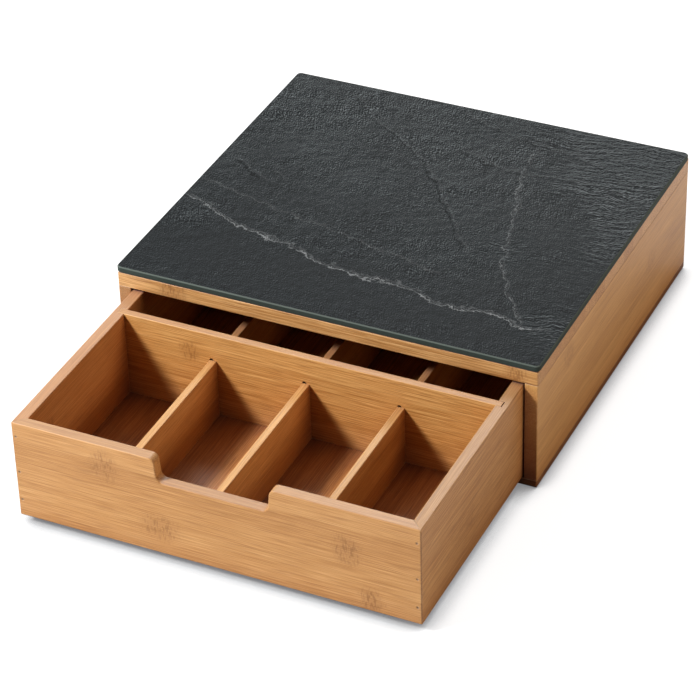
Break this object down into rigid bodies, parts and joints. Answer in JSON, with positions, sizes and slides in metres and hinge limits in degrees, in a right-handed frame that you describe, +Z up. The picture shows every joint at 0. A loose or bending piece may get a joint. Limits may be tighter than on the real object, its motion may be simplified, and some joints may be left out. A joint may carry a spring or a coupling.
{
  "type": "tea bag drawer box",
  "caption": "Low bamboo tabletop box with one pull-out drawer divided into compartments for tea bags, a finger notch in the drawer front and a slate-look glass plate on top.",
  "frame": {"origin": "centre of the case's footprint, on its underside", "axes": "+Z up; +X to the right as seen from the front; the drawer opens towards -Y"},
  "size_m": [0.332, 0.4866, 0.106],
  "materials": {
    "bamboo": "satin clear lacquer",
    "brad_steel": "dark, unpolished",
    "slate_look_glass": "gloss, opaque slate-look backing",
    "bonding_pad": "matte"
  },
  "bodies": {
    "case": {"case_top_board": "bamboo", "case_bottom_board": "bamboo", "case_left_side": "bamboo", "case_right_side": "bamboo", "case_back_panel": "bamboo", "case_top_brads": "brad_steel", "case_bottom_brads": "brad_steel", "case_back_brads": "brad_steel", "glass_top_plate": "slate_look_glass", "glass_bonding_pads": "bonding_pad"},
    "drawer": {"drawer_front": "bamboo", "drawer_back": "bamboo", "drawer_left_side": "bamboo", "drawer_right_side": "bamboo", "drawer_floor": "bamboo", "drawer_cross_divider": "bamboo", "front_divider_1": "bamboo", "front_divider_2": "bamboo", "front_divider_3": "bamboo", "rear_divider_1": "bamboo", "rear_divider_2": "bamboo", "rear_divider_3": "bamboo", "drawer_front_brads": "brad_steel", "drawer_back_brads": "brad_steel"}
  },
  "joints": [
    {"name": "drawer_slide", "type": "slide", "parent": "case", "child": "drawer", "axis": [0, -1, 0], "range_m": [-0.1766, 0.0634]}
  ]
}
